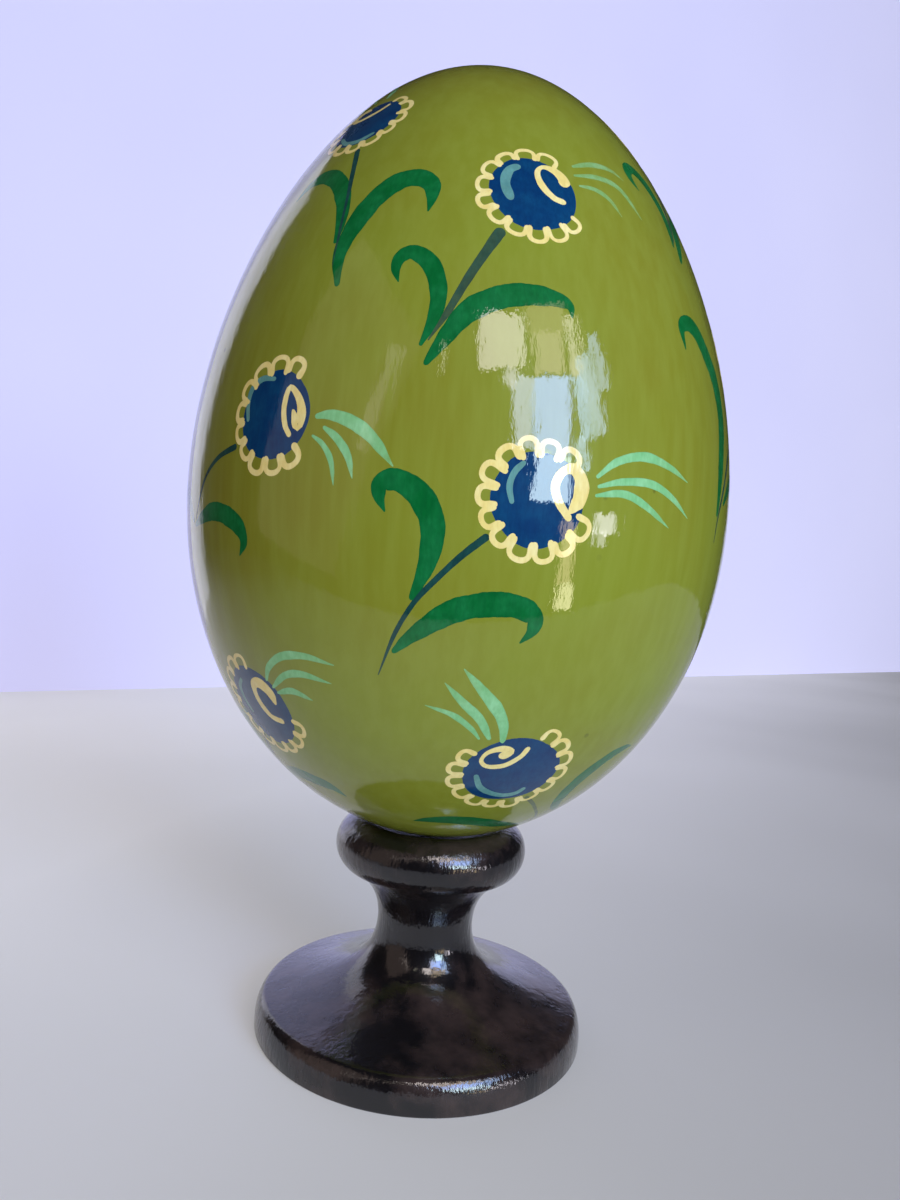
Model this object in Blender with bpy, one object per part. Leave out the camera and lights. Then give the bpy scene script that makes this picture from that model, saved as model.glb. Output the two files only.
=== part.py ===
"""A hand-painted wooden egg that rests loose in the cup of a small turned wooden stand.

Both pieces are turned on a lathe, so each is one closed profile swept about the vertical axis.
The egg stands on its blunt end, coaxial with the stand, and lifts straight out of the cup.
Units are metres, +Z is up, and the origin is the centre of the stand's underside.
"""

from math import cos, pi, radians, sin, sqrt

import bmesh
import bpy

# Egg: half of its width is EGG_RADIUS at the widest circle, a little below the middle.
EGG_RADIUS = 0.0350
EGG_LENGTH = 0.0994
EGG_TAPER = -0.255
EGG_FLATTEN = -0.034
EGG_POINT = 0.077
EGG_BASE_HEIGHT = 0.0271
EGG_RINGS = 34

# Foot of the stand: a low disc whose top sweeps up into the neck.
FOOT_RADIUS = 0.0221
FOOT_EDGE_HEIGHT = 0.0043
FOOT_TOP_ROUND = 0.0006
FOOT_BOTTOM_ROUND = 0.0003
FOOT_TOP_SLOPE = radians(12.0)
FOOT_SWEEP_LENGTH = 0.0085

# Neck of the stand: a waist that flares both ways.
NECK_RADIUS = 0.0065
NECK_HEIGHT = 0.0145
NECK_SWEEP_DOWN = 0.0063
NECK_SWEEP_UP = 0.0038
NECK_FLARE = (0.0019, 0.0013)

# Cup rim: a rolled bead whose section is an ellipse. It meets the neck in a crease.
RIM_RING_RADIUS = 0.0098
RIM_HALF_WIDTH = 0.0031
RIM_HALF_HEIGHT = 0.0035
RIM_TOP_HEIGHT = 0.0284
RIM_CREASE_ANGLE = radians(-78.0)
RIM_INNER_ANGLE = radians(118.0)

# Dish: the shallow hollow inside the rim. The egg clears the rim by about 0.3 mm.
DISH_FLOOR_HEIGHT = 0.0262
DISH_FLOOR_FLAT = 0.0030
DISH_WALL_RUN = 0.0016
DISH_WALL_DROP = 0.0007

LATHE_STEPS = 64
MERGE_DISTANCE = 1e-7
SMOOTH_ANGLE = radians(35.0)

EGG_GREEN = (0.23, 0.27, 0.045)
STAND_BLACK = (0.012, 0.009, 0.009)
EGG_ROUGHNESS = 0.12
STAND_ROUGHNESS = 0.22


def clear_scene():
    for thing in list(bpy.data.objects):
        bpy.data.objects.remove(thing, do_unlink=True)


def lacquer(name, colour, roughness):
    material = bpy.data.materials.new(name)
    material.use_nodes = True
    shader = material.node_tree.nodes["Principled BSDF"]
    shader.inputs["Base Color"].default_value = (*colour, 1.0)
    shader.inputs["Roughness"].default_value = roughness
    shader.inputs["Metallic"].default_value = 0.0
    return material


def bezier(start, start_handle, end_handle, end, count):
    """Points along a cubic curve, without its first point."""
    corners = (start, start_handle, end_handle, end)
    points = []
    for i in range(1, count + 1):
        t = i / count
        s = 1.0 - t
        weights = (s * s * s, 3 * s * s * t, 3 * s * t * t, t * t * t)
        points.append(tuple(sum(w * c[k] for w, c in zip(weights, corners)) for k in (0, 1)))
    return points


def ellipse_arc(centre, half_width, half_height, start, end, count):
    """Points along an ellipse from one angle to another, both ends included."""
    angles = [start + (end - start) * i / count for i in range(count + 1)]
    return [(centre[0] + half_width * cos(a), centre[1] + half_height * sin(a)) for a in angles]


def round_corner(centre, radius, start, end, count):
    return ellipse_arc(centre, radius, radius, start, end, count)


def egg_breadth(u):
    """The egg's relative radius at u, which runs from -1 at the blunt end to 1 at the point."""
    ellipse = 1.0 - u * u
    taper = 1.0 + EGG_TAPER * u + EGG_FLATTEN * u * u + EGG_POINT * u * u * u
    return sqrt(max(ellipse * taper, 0.0))


def egg_profile():
    """Radius and height above the egg's own base, from the point down to the blunt end."""
    angles = [pi / 2 - pi * i / EGG_RINGS for i in range(EGG_RINGS + 1)]
    places = [sin(a) for a in angles]
    widest = max(egg_breadth(i / 1000.0) for i in range(-1000, 1001))
    profile = [(EGG_RADIUS * egg_breadth(u) / widest, EGG_LENGTH * (1.0 + u) / 2) for u in places]
    profile[0] = (0.0, EGG_LENGTH)
    profile[-1] = (0.0, 0.0)
    return profile


def dish_profile(rim_edge):
    """The hollow of the cup, from its centre out to just short of the rim's inner edge."""
    floor_edge = (DISH_FLOOR_FLAT, DISH_FLOOR_HEIGHT)
    handle = (rim_edge[0] - DISH_WALL_RUN, rim_edge[1] - DISH_WALL_DROP)
    wall = bezier(floor_edge, (2 * DISH_FLOOR_FLAT, DISH_FLOOR_HEIGHT), handle, rim_edge, 5)
    return [(0.0, DISH_FLOOR_HEIGHT), floor_edge] + wall[:-1]


def neck_profile(crease):
    """The waist, from just below the crease under the rim down to the foot's top edge."""
    waist = (NECK_RADIUS, NECK_HEIGHT)
    flare = (crease[0] - NECK_FLARE[0], crease[1] - NECK_FLARE[1])
    upper = bezier(crease, flare, (NECK_RADIUS, NECK_HEIGHT + NECK_SWEEP_UP), waist, 7)
    edge = (FOOT_RADIUS - FOOT_TOP_ROUND, FOOT_EDGE_HEIGHT)
    sweep_in = FOOT_SWEEP_LENGTH * cos(FOOT_TOP_SLOPE)
    sweep_up = FOOT_SWEEP_LENGTH * sin(FOOT_TOP_SLOPE)
    end_handle = (edge[0] - sweep_in, edge[1] + sweep_up)
    lower = bezier(waist, (NECK_RADIUS, NECK_HEIGHT - NECK_SWEEP_DOWN), end_handle, edge, 12)
    return upper + lower[:-1]


def foot_profile():
    """The foot's rounded edge and its flat underside."""
    top_centre = (FOOT_RADIUS - FOOT_TOP_ROUND, FOOT_EDGE_HEIGHT - FOOT_TOP_ROUND)
    bottom_centre = (FOOT_RADIUS - FOOT_BOTTOM_ROUND, FOOT_BOTTOM_ROUND)
    top = round_corner(top_centre, FOOT_TOP_ROUND, pi / 2 - FOOT_TOP_SLOPE, 0.0, 3)
    bottom = round_corner(bottom_centre, FOOT_BOTTOM_ROUND, 0.0, -pi / 2, 2)
    return top + bottom + [(0.0, 0.0)]


def stand_profile():
    """Radius and height from the centre of the dish, over the rim and down to the underside."""
    centre = (RIM_RING_RADIUS, RIM_TOP_HEIGHT - RIM_HALF_HEIGHT)
    rim = ellipse_arc(
        centre, RIM_HALF_WIDTH, RIM_HALF_HEIGHT, RIM_INNER_ANGLE, RIM_CREASE_ANGLE, 14
    )
    return dish_profile(rim[0]) + rim + neck_profile(rim[-1]) + foot_profile()


def turn(name, profile, material):
    """Sweep a profile, which starts and ends on the axis, into a closed turned solid."""
    mesh = bpy.data.meshes.new(name)
    outline = bmesh.new()
    corners = [outline.verts.new((radius, 0.0, height)) for radius, height in profile]
    sides = [outline.edges.new(pair) for pair in zip(corners, corners[1:])]
    bmesh.ops.spin(
        outline,
        geom=corners + sides,
        cent=(0.0, 0.0, 0.0),
        axis=(0.0, 0.0, 1.0),
        angle=2 * pi,
        steps=LATHE_STEPS,
        use_merge=True,
    )
    bmesh.ops.remove_doubles(outline, verts=outline.verts, dist=MERGE_DISTANCE)
    bmesh.ops.recalc_face_normals(outline, faces=outline.faces)
    outline.to_mesh(mesh)
    outline.free()
    mesh.materials.append(material)
    mesh.shade_smooth()
    mesh.set_sharp_from_angle(angle=SMOOTH_ANGLE)
    piece = bpy.data.objects.new(name, mesh)
    bpy.context.scene.collection.objects.link(piece)
    return piece


def build_stand():
    return turn("stand", stand_profile(), lacquer("stand_lacquer", STAND_BLACK, STAND_ROUGHNESS))


def build_egg():
    egg = turn("egg", egg_profile(), lacquer("egg_lacquer", EGG_GREEN, EGG_ROUGHNESS))
    egg.location = (0.0, 0.0, EGG_BASE_HEIGHT)
    return egg


clear_scene()
build_stand()
build_egg()
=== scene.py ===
"""Looks of a hand-painted wooden egg that rests in a small turned stand.

The egg and the stand are turned afresh in fine meshes on the frame's own sizes. Every flower is
painted as thin raised brush strokes that follow the egg's surface. All the painting rides on the egg.
The object's sizes are millimetres until a mesh is made; the stage, the lights, the camera and the
materials use metres. Azimuth 0 faces the viewer and grows to the right.
"""

from math import atan, cos, pi, radians, sin, tan

import bpy
import numpy as np
from mathutils import Matrix, Vector


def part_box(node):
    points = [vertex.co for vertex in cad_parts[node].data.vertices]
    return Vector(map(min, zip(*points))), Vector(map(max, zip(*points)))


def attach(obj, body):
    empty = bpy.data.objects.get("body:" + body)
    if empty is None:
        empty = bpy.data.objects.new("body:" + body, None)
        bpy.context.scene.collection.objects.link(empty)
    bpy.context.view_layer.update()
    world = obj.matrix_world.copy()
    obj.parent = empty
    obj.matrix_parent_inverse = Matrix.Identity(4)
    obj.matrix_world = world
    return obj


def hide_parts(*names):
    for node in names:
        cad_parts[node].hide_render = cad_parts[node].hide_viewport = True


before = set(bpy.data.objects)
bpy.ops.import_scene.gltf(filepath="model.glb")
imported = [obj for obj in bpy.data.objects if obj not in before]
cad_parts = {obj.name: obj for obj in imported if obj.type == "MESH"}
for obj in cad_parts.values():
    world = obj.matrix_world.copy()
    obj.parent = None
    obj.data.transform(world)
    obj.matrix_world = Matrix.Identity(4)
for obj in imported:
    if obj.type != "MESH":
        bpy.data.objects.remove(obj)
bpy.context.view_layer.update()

MM = 0.001

# Egg outline: the frame gives its place and size, and these give its shape.
EGG_LOW, EGG_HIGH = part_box("egg")
EGG_BASE = EGG_LOW.z / MM
EGG_LENGTH = (EGG_HIGH.z - EGG_LOW.z) / MM
EGG_RADIUS = (EGG_HIGH.x - EGG_LOW.x) / 2 / MM
EGG_TAPER = -0.255
EGG_FLATTEN = -0.034
EGG_POINT = 0.077
EGG_RINGS = 180
EGG_STEPS = 240
EGG_END_MARGIN = 0.01
EGG_SLOPE_STEP = 0.002

# Stand outline, in millimetres; heights count from its underside.
STAND_LOW, STAND_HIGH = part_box("stand")
STAND_BASE = STAND_LOW.z / MM
FOOT_RADIUS = (STAND_HIGH.x - STAND_LOW.x) / 2 / MM
RIM_TOP = (STAND_HIGH.z - STAND_LOW.z) / MM
RIM_RING_RADIUS = 9.8
RIM_HALF_WIDTH = 3.1
RIM_HALF_HEIGHT = 3.5
RIM_START = radians(118.0)
RIM_END = radians(-78.0)
DISH_DEPTH = 2.2
DISH_FLAT = 3.0
DISH_WALL_RUN = 1.6
DISH_WALL_DROP = 0.7
NECK_RADIUS = 6.5
NECK_HEIGHT = 14.5
NECK_SWEEP_UP = 3.8
NECK_SWEEP_DOWN = 6.3
NECK_FLARE = (1.9, 1.3)
FOOT_EDGE = 4.3
FOOT_SLOPE = radians(12.0)
FOOT_SWEEP = 8.5
FOOT_ROUND = 1.5
FOOT_ROUND_DROP = 3.2
FOOT_SOLE_ROUND = 0.3
STAND_STEPS = 192

# Brush strokes: how far the paint stands proud, and how each stroke is meshed. STROKE_ACROSS and
# STROKE_LIFT draw a stroke's section, as shares of its half width and of its height.
WALK_STEPS = 24
CURVE_STEPS = 24
STROKE_SPACING = 0.16
STROKE_LEAST_RINGS = 10
STROKE_LOOK = 0.12
STROKE_END = 0.0025
STROKE_WOBBLE = 0.06
SCALLOP_WOBBLE = 0.1
WOBBLE_LENGTHS = (2.3, 5.1, 9.7)
STROKE_ACROSS = (-1.0, -0.9, -0.7, -0.35, 0.0, 0.35, 0.7, 0.9, 1.0)
STROKE_LIFT = (-0.3, 0.35, 0.8, 1.0, 1.0, 1.0, 0.8, 0.35, -0.3)
STROKE_DEPTH = 0.06
NAVY_LIFT = 0.020
RING_LIFT = 0.032
RING_LIFT_STEP = 0.004
TEAL_LIFT = 0.030
HOOK_LIFT = 0.036
LEAF_LIFT = 0.016
STEM_LIFT = 0.020
WHISKER_LIFT = 0.018

# How wide a stroke is along its length: fractions of the way, then shares of its full width.
LEAF_SWELL = (
    (0.0, 0.08, 0.2, 0.4, 0.6, 0.78, 0.9, 1.0),
    (0.2, 0.42, 0.7, 0.95, 1.0, 0.86, 0.52, 0.06),
)
STEM_SWELL = ((0.0, 0.35, 0.75, 1.0), (1.0, 0.78, 0.6, 0.12))
WHISKER_SWELL = ((0.0, 0.2, 0.5, 0.8, 1.0), (0.35, 0.8, 1.0, 0.65, 0.08))
TEAL_SWELL = ((0.0, 0.4, 0.8, 1.0), (0.7, 1.0, 0.95, 0.7))
CURL_SWELL = ((0.0, 0.3, 0.5, 0.75, 0.9, 1.0), (0.7, 0.9, 0.8, 1.5, 1.25, 0.4))
DROP_SWELL = ((0.0, 0.35, 0.6, 0.85, 1.0), (0.85, 0.95, 0.6, 1.35, 1.6))
SCALLOP_SWELL = ((0.0, 0.15, 0.3, 0.7, 0.85, 1.0), (1.25, 1.1, 0.92, 0.92, 1.1, 1.25))

# The flower's blue middle: shares of its radius, and how high the paint stands at each share.
NAVY_RADIUS = 4.8
NAVY_STEPS = 96
NAVY_SHARES = (0.15, 0.35, 0.55, 0.75, 0.9, 0.96, 1.0)
NAVY_RISES = (1.0, 1.0, 1.0, 1.0, 1.0, 0.6, -0.5)
NAVY_DEPTH = 0.5
NAVY_LOBES = (2, 3, 5)
NAVY_UNEVEN = (0.004, 0.014)

# The cream ring of scallops, in millimetres. RING_HOLD makes each loop fuller at its sides. The
# ranges are how unevenly the scallops are spaced, how far each reaches out and in past the ring's
# two radii, and how thick its line is.
RING_INNER = 4.2
RING_OUTER = 6.05
RING_LINE = 0.68
RING_PITCH = 2.35
RING_SPOKE = 0.12
RING_HOLD = 0.65
SCALLOP_POINTS = 15
SCALLOP_SHOULDER = 0.42
SCALLOP_SPACING_RANGE = (0.88, 1.12)
SCALLOP_REACH_RANGE = (-0.2, 0.2)
SCALLOP_START_RANGE = (-0.2, 0.15)
SCALLOP_LINE_RANGE = (0.9, 1.12)


class Spray:
    """One painted flower with its stem, leaves and whiskers.

    Strokes are lists of places: millimetres east and up from the flower's centre, over the surface.
    The ring of scallops leaves the flower open between the two angles of ring_gap, in degrees.
    """

    def __init__(self, ring_gap, hook, teal=(), whiskers=(), stem=(), leaves=(), **looks):
        self.ring_gap = ring_gap
        self.strokes = {
            "hook": (hook,),
            "teal": (teal,) if teal else (),
            "whiskers": whiskers,
            "stem": (stem,) if stem else (),
            "leaves": leaves,
        }
        self.looks = looks


# The strokes in view are traced from the photo. Points picked on it were carried onto the egg by
# another program, through the fitted camera, then rounded, and about half of them moved by hand.
FRONT = Spray(
    ring_gap=(-14, 42),
    hook=(
        (3.5, -1.7), (2.1, 0.0), (1.6, 1.5), (2.2, 2.9),
        (3.4, 3.3), (4.3, 2.2), (4.2, 0.4), (3.3, -1.0),
    ),
    teal=((-2.6, -0.6), (-3.0, 1.1), (-2.6, 2.5), (-1.6, 3.6)),
    whiskers=(
        ((6.0, 2.8), (8.5, 4.7), (12.0, 5.6), (15.8, 5.0), (19.1, 3.8)),
        ((6.2, 1.9), (9.2, 2.7), (13.1, 2.9), (16.5, 1.8), (19.6, -0.1)),
        ((6.0, 1.0), (9.3, 1.5), (12.2, 0.7), (16.3, -1.4)),
    ),
    stem=((-4.6, -3.8), (-7.2, -6.2), (-9.9, -9.3), (-11.3, -11.2), (-12.9, -14.6), (-14.3, -19.5)),
    leaves=(
        (
            (-11.6, -10.9), (-10.9, -9.0), (-10.2, -6.5), (-10.1, -3.3),
            (-11.5, -0.6), (-13.8, 0.8), (-15.5, 0.4), (-15.6, -0.9), (-14.9, -2.4),
        ),
        (
            (-13.0, -16.7), (-11.0, -14.5), (-7.6, -11.8), (-4.3, -10.7),
            (-1.0, -10.6), (1.0, -11.6), (1.0, -13.0), (-0.1, -14.4),
        ),
    ),
    leaves_widths=(2.65, 2.7),
    hook_widths=(1.3,),
    stem_widths=(0.8,),
)

UPPER = Spray(
    ring_gap=(-27, 58),
    hook=(
        (3.5, -0.6), (2.1, -0.2), (0.9, 1.2), (0.5, 2.8),
        (1.1, 3.8), (2.4, 3.6), (3.3, 2.7), (3.5, 1.6),
    ),
    teal=((-1.3, 3.5), (-2.5, 2.7), (-3.0, 0.8), (-2.4, -1.4)),
    whiskers=(
        ((4.6, 5.1), (7.2, 6.6), (9.8, 7.3), (11.8, 6.8)),
        ((4.7, 3.8), (8.0, 4.9), (10.9, 4.8), (13.8, 1.9)),
        ((5.2, 2.5), (7.3, 2.8), (9.1, 2.2), (10.6, 0.5)),
    ),
    stem=((-3.4, -5.1), (-6.6, -10.5), (-9.0, -14.9), (-10.8, -17.6)),
    leaves=(
        (
            (-11.6, -18.1), (-10.6, -16.1), (-9.9, -13.8), (-9.9, -11.5),
            (-10.7, -9.1), (-12.4, -7.6), (-13.7, -8.0), (-14.2, -9.3), (-13.9, -10.9),
        ),
        (
            (-11.1, -20.1), (-9.2, -17.5), (-7.0, -14.8), (-4.2, -13.2),
            (-1.5, -12.5), (1.5, -12.4), (3.5, -12.9), (3.9, -14.2),
        ),
    ),
    leaves_widths=(2.0, 2.7),
    stem_widths=(1.3,),
    whiskers_widths=(0.85, 0.85, 0.7),
    teal_widths=(1.4,),
    hook_widths=(1.05,),
    hook_swell=DROP_SWELL,
    ring_inner=4.5,
    ring_outer=6.05,
    ring_line=0.54,
    whisker_cover=0.55,
    stem_cover=0.88,
)

LEFT = Spray(
    ring_gap=(-42, 54),
    hook=(
        (2.7, -2.3), (1.8, -1.0), (1.4, 0.9), (1.8, 2.8),
        (3.1, 1.8), (3.8, 0.2), (3.5, -1.2), (2.6, 0.5),
    ),
    teal=((-0.4, 3.8), (-2.4, 3.9), (-3.9, 3.0), (-4.2, 1.3), (-3.8, -0.6)),
    whiskers=(
        ((5.5, -0.2), (7.4, 0.0), (9.9, -0.7), (12.1, -2.1), (14.5, -4.7)),
        ((6.6, -1.2), (8.3, -2.3), (9.7, -4.0), (10.4, -6.2)),
        ((5.4, -2.1), (6.8, -3.0), (7.9, -4.6), (8.4, -7.0)),
    ),
    stem=((-5.4, -3.1), (-9.4, -4.3), (-12.6, -6.6), (-15.4, -11.0)),
    leaves=(
        ((-16.2, -11.2), (-18.6, -8.8), (-21.4, -7.2), (-24.2, -7.2), (-25.8, -9.0), (-25.2, -11.2)),
        (
            (-15.6, -11.6), (-12.8, -10.7), (-10.0, -10.1), (-7.2, -10.4),
            (-4.6, -11.5), (-3.5, -13.1), (-4.3, -14.8),
        ),
    ),
    leaves_widths=(2.4, 2.3),
    stem_widths=(0.75,),
    whiskers_widths=(1.5, 0.95, 0.7),
    teal_widths=(0.85,),
    hook_widths=(0.95,),
    ring_inner=4.4,
    ring_outer=6.1,
)

LOWER_LEFT = Spray(
    ring_gap=(-12, 88),
    hook=((3.6, -1.5), (1.5, -1.0), (0.3, 0.9), (0.4, 2.9), (1.8, 3.4), (3.2, 2.4), (3.5, 0.8)),
    teal=((-2.0, 3.4), (-3.3, 2.0), (-3.4, 0.2), (-2.6, -1.4)),
    whiskers=(
        ((3.4, 3.9), (4.6, 5.7), (7.2, 7.1), (10.5, 7.1), (13.9, 5.9)),
        ((4.1, 3.1), (6.8, 4.8), (9.5, 5.0), (12.9, 3.8)),
        ((4.6, 2.5), (7.2, 2.9), (9.7, 1.8)),
    ),
    stem=((-3.2, -4.6), (-5.0, -8.0), (-5.9, -11.4), (-5.6, -15.0)),
    leaves=(
        ((-5.6, -9.6), (-6.8, -6.6), (-8.8, -4.2), (-11.2, -3.6), (-12.9, -5.0), (-12.7, -7.0)),
        ((-5.6, -13.6), (-3.4, -11.6), (-0.6, -10.9), (2.0, -11.2), (4.3, -11.9), (5.6, -13.7)),
    ),
    hook_widths=(1.3,),
    navy_radius=5.4,
    ring_inner=5.0,
    ring_outer=6.6,
    ring_line=0.6,
)

LOWER = Spray(
    ring_gap=(70, 152),
    hook=(
        (0.8, 4.0), (0.2, 2.5), (-1.3, 1.1), (-3.1, 0.8), (-4.0, 1.6),
        (-3.6, 2.9), (-2.2, 3.6), (-1.2, 3.2), (-2.2, 2.3),
    ),
    teal=((-4.0, -0.7), (-2.7, -3.0), (-0.3, -4.2), (1.6, -4.0), (2.6, -2.9)),
    whiskers=(
        ((-2.4, 4.4), (-2.9, 6.7), (-4.1, 8.7), (-6.5, 11.0), (-8.6, 12.8)),
        ((-3.9, 4.7), (-5.6, 7.2), (-7.8, 8.9), (-10.2, 10.8)),
        ((-5.0, 4.6), (-6.3, 5.9), (-8.6, 7.2), (-11.6, 7.6)),
    ),
    stem=((3.4, -4.9), (5.5, -7.5), (7.8, -11.8), (8.3, -15.0)),
    leaves=(
        (
            (11.2, -12.6), (9.6, -9.4), (9.5, -6.0), (10.8, -3.0),
            (13.4, -0.9), (16.0, -0.5), (18.1, -1.1),
        ),
        ((6.4, -14.4), (2.6, -12.5), (-0.6, -11.2), (-3.6, -11.0), (-6.2, -11.9), (-7.9, -13.2)),
    ),
    whiskers_widths=(1.45, 1.15, 0.75),
    hook_swell=DROP_SWELL,
    stem_widths=(0.6,),
    teal_widths=(1.0,),
    stem_cover=0.6,
    navy_radius=5.7,
    ring_inner=5.35,
    ring_outer=7.0,
    ring_line=0.62,
    squeeze=0.92,
)

CROWN = Spray(
    ring_gap=(70, 150),
    hook=((1.4, 3.4), (0.4, 2.2), (-1.2, 1.4), (-2.8, 1.4), (-3.4, 2.4), (-2.6, 3.4), (-1.4, 3.2)),
    teal=((-3.0, -1.8), (-1.4, -3.3), (0.8, -3.6), (2.6, -2.6)),
    whiskers=(
        ((-0.6, 5.6), (-1.2, 8.0), (-2.8, 10.2), (-5.0, 11.8)),
        ((-2.4, 5.4), (-3.8, 7.4), (-6.0, 9.0), (-8.2, 9.8)),
        ((-3.8, 4.8), (-5.6, 6.0), (-8.0, 6.8)),
    ),
    stem=((1.6, -5.2), (2.7, -8.4), (4.0, -12.9), (4.9, -17.1), (5.7, -21.5)),
    leaves=(
        (
            (4.9, -18.8), (4.6, -16.2), (3.6, -13.2), (1.6, -10.4),
            (-1.0, -8.8), (-3.6, -9.0), (-5.4, -10.9),
        ),
        (
            (7.2, -23.9), (6.1, -20.1), (6.6, -16.5), (7.7, -13.2),
            (9.4, -10.7), (11.4, -9.7), (13.2, -10.2), (14.0, -11.8), (14.3, -13.8),
        ),
    ),
    leaves_widths=(2.3, 2.8),
    stem_widths=(0.75,),
    navy_radius=4.3,
    ring_inner=4.0,
    ring_outer=5.3,
    ring_line=0.58,
)

RIGHT = Spray(
    ring_gap=FRONT.ring_gap,
    hook=FRONT.strokes["hook"][0],
    teal=FRONT.strokes["teal"][0],
    whiskers=FRONT.strokes["whiskers"],
    stem=((-4.6, -3.8), (-6.7, -10.9), (-9.5, -14.1), (-13.1, -19.5), (-14.1, -23.0)),
    leaves=(
        (
            (-13.9, -20.0), (-13.4, -17.2), (-12.6, -13.4), (-11.5, -8.4), (-12.1, -4.4),
            (-13.6, -1.8), (-15.6, 1.0), (-17.6, 1.9), (-19.3, 1.2), (-19.5, -1.3),
        ),
        ((-11.4, -18.6), (-8.0, -16.4), (-4.4, -15.4), (-1.0, -15.8), (1.0, -17.2), (0.4, -19.0)),
    ),
    leaves_widths=(3.0, 2.2),
)

# Where each spray sits on the egg: name, spray, azimuth in degrees, height in millimetres and a
# turn in degrees about the flower's own centre. The sprays out of sight repeat those in view.
PAINTING = (
    ("lower_left", LOWER_LEFT, -46.2, 45.3, 0),
    ("lower", LOWER, 18.6, 41.1, 0),
    ("lower_right", LOWER_LEFT, 100, 45.0, 4),
    ("lower_back_right", LOWER, 154, 42.0, -5),
    ("lower_back", LOWER_LEFT, -152, 46.0, -3),
    ("lower_back_left", LOWER, -92, 41.0, 3),
    ("left", LEFT, -34.4, 77.1, 0),
    ("front", FRONT, 12.9, 70.1, 0),
    ("right", RIGHT, 80, 91.2, 0),
    ("back_right", FRONT, 137, 72.0, 3),
    ("back", LEFT, -168, 80.0, -4),
    ("back_left", FRONT, -112, 74.0, -2),
    ("crown_left", CROWN, -38, 112.4, 0),
    ("upper", UPPER, 11.0, 102.0, 0),
    ("crown_right", UPPER, 74.5, 117.5, 0),
    ("upper_back_right", UPPER, 124, 103.5, -4),
    ("upper_back", UPPER, 176, 110.0, 5),
    ("upper_back_left", UPPER, -118, 104.0, 2),
)

# Camera: level with the object's middle, close, tipped down a little and rolled a little.
CAMERA_DISTANCE = 0.1216
CAMERA_HEIGHT = 0.0635
CAMERA_PITCH = -0.0428
CAMERA_ROLL = 0.0784
CAMERA_LENS = 26.94
CAMERA_SENSOR = 36.0

# Backdrop, in metres: a pale wall that stands askew behind the object, nearer on the left, with an
# end past WALL_LEFT that is painted brighter as painted light. Reflections see it only up to its
# gloss heights. The oval table top is the part of the floor that reflections see, and painted shade
# darkens it along the shade slope below, towards the front left.
WALL_FOOT = (0.003, 0.351)
WALL_TURN = radians(37.0)
WALL_LEFT = 0.235
WALL_END = 0.322
WALL_RIGHT = 0.5
WALL_HEIGHT = 0.64
WALL_GLOSS_LEFT = 0.35
WALL_GLOSS_RIGHT = 0.10
FLOOR_REACH = 3.0
TABLE_CENTRE = (0.0, 0.143)
TABLE_HALF_WIDTH = 0.44
TABLE_HALF_DEPTH = 0.271
TABLE_SIDES = 96
# Painted shade on the floor: the slope it darkens along, its span along that slope and its colour.
PAINTED_SHADE_SLOPE = (-1.0, -0.6, 0.0)
PAINTED_SHADE_SPAN = (0.075, 0.27)
PAINTED_SHADE_COLOUR = (0.03, 0.02, 0.02)

# Window panes and pale things in front, as the egg sees them: the middle's azimuth and elevation,
# the width, the height and the lean, all in degrees, and how bright it is in red, green and blue.
# The directions started from the photo's reflections, worked out by another program.
WINDOW_DISTANCE = 1.1
PANES = (
    ("pane_sky", 35.0, 21.0, 15.4, 16.2, 0, (6.3, 8.8, 17.0)),
    ("pane_street", 35.3, 7.4, 15.0, 10.8, 0, (11.8, 15.4, 17.0)),
    ("pane_frame", 23.5, 21.4, 6.6, 15.2, 0, (6.6, 7.2, 10.4)),
    ("pane_warm", 13.6, 36.8, 20.4, 11.5, 0, (8.6, 7.7, 7.4)),
    ("pane_warm_low", 18.6, 29.0, 4.6, 3.4, -30, (7.4, 7.0, 8.2)),
    ("pane_blind", 34.5, 34.0, 13.0, 8.6, 0, (5.3, 4.3, 3.4)),
    ("pane_valance", 35.0, 41.0, 18.0, 5.6, 0, (3.0, 2.4, 1.6)),
    ("pane_edge", 46.6, 35.0, 4.6, 12.0, 0, (7.0, 6.2, 5.4)),
    ("pane_tree", 48.4, 22.6, 4.4, 13.0, 10, (5.0, 7.4, 11.9)),
    ("pane_leaves", 52.4, 25.0, 4.8, 16.0, 16, (4.8, 6.4, 9.6)),
    ("pane_bright", 56.6, 31.5, 5.4, 11.0, 10, (3.8, 4.9, 7.6)),
    ("pane_twigs", 47.6, 13.2, 3.0, 7.0, 14, (5.6, 7.8, 11.8)),
    ("pane_side", 44.2, -9.4, 5.6, 15.6, 8, (6.8, 5.3, 3.2)),
    ("pane_sill", 47.0, -20.2, 5.8, 6.2, 8, (12.0, 10.8, 6.8)),
    ("pane_corner", 59.0, -1.2, 8.4, 4.4, 4, (10.2, 9.6, 10.6)),
    ("pane_corner_low", 57.4, -4.4, 4.6, 3.6, 10, (6.4, 6.0, 6.6)),
    ("curtain", -56.0, 16.0, 46.0, 62.0, -20, (0.38, 0.28, 0.24)),
    ("curtain_fold", -35.0, 22.0, 4.0, 24.0, -20, (1.5, 1.3, 1.2)),
    ("dash", -10.6, 31.8, 1.2, 6.6, -3, (7.0, 6.6, 5.2)),
)
FILL = ("fill", 16.0, -6.0, 30.0, 34.0, 0, (2.4, 2.1, 1.9))

# The room: what falls on things from all round, what reflections see and what the camera sees.
ROOM_AMBIENT = (0.050, 0.042, 0.042)
ROOM_REFLECTED = (0.020, 0.018, 0.016)
ROOM_SEEN = (0.64, 0.62, 0.90)


# ---------------------------------------------------------------- the egg's surface


def egg_breadth(place):
    """The egg's relative radius; place runs from -1 at the blunt end to 1 at the point."""
    taper = 1.0 + EGG_TAPER * place + EGG_FLATTEN * place**2 + EGG_POINT * place**3
    return np.sqrt(np.maximum((1.0 - place**2) * taper, 0.0))


EGG_WIDEST = egg_breadth(np.linspace(-1.0, 1.0, 2001)).max()


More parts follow.
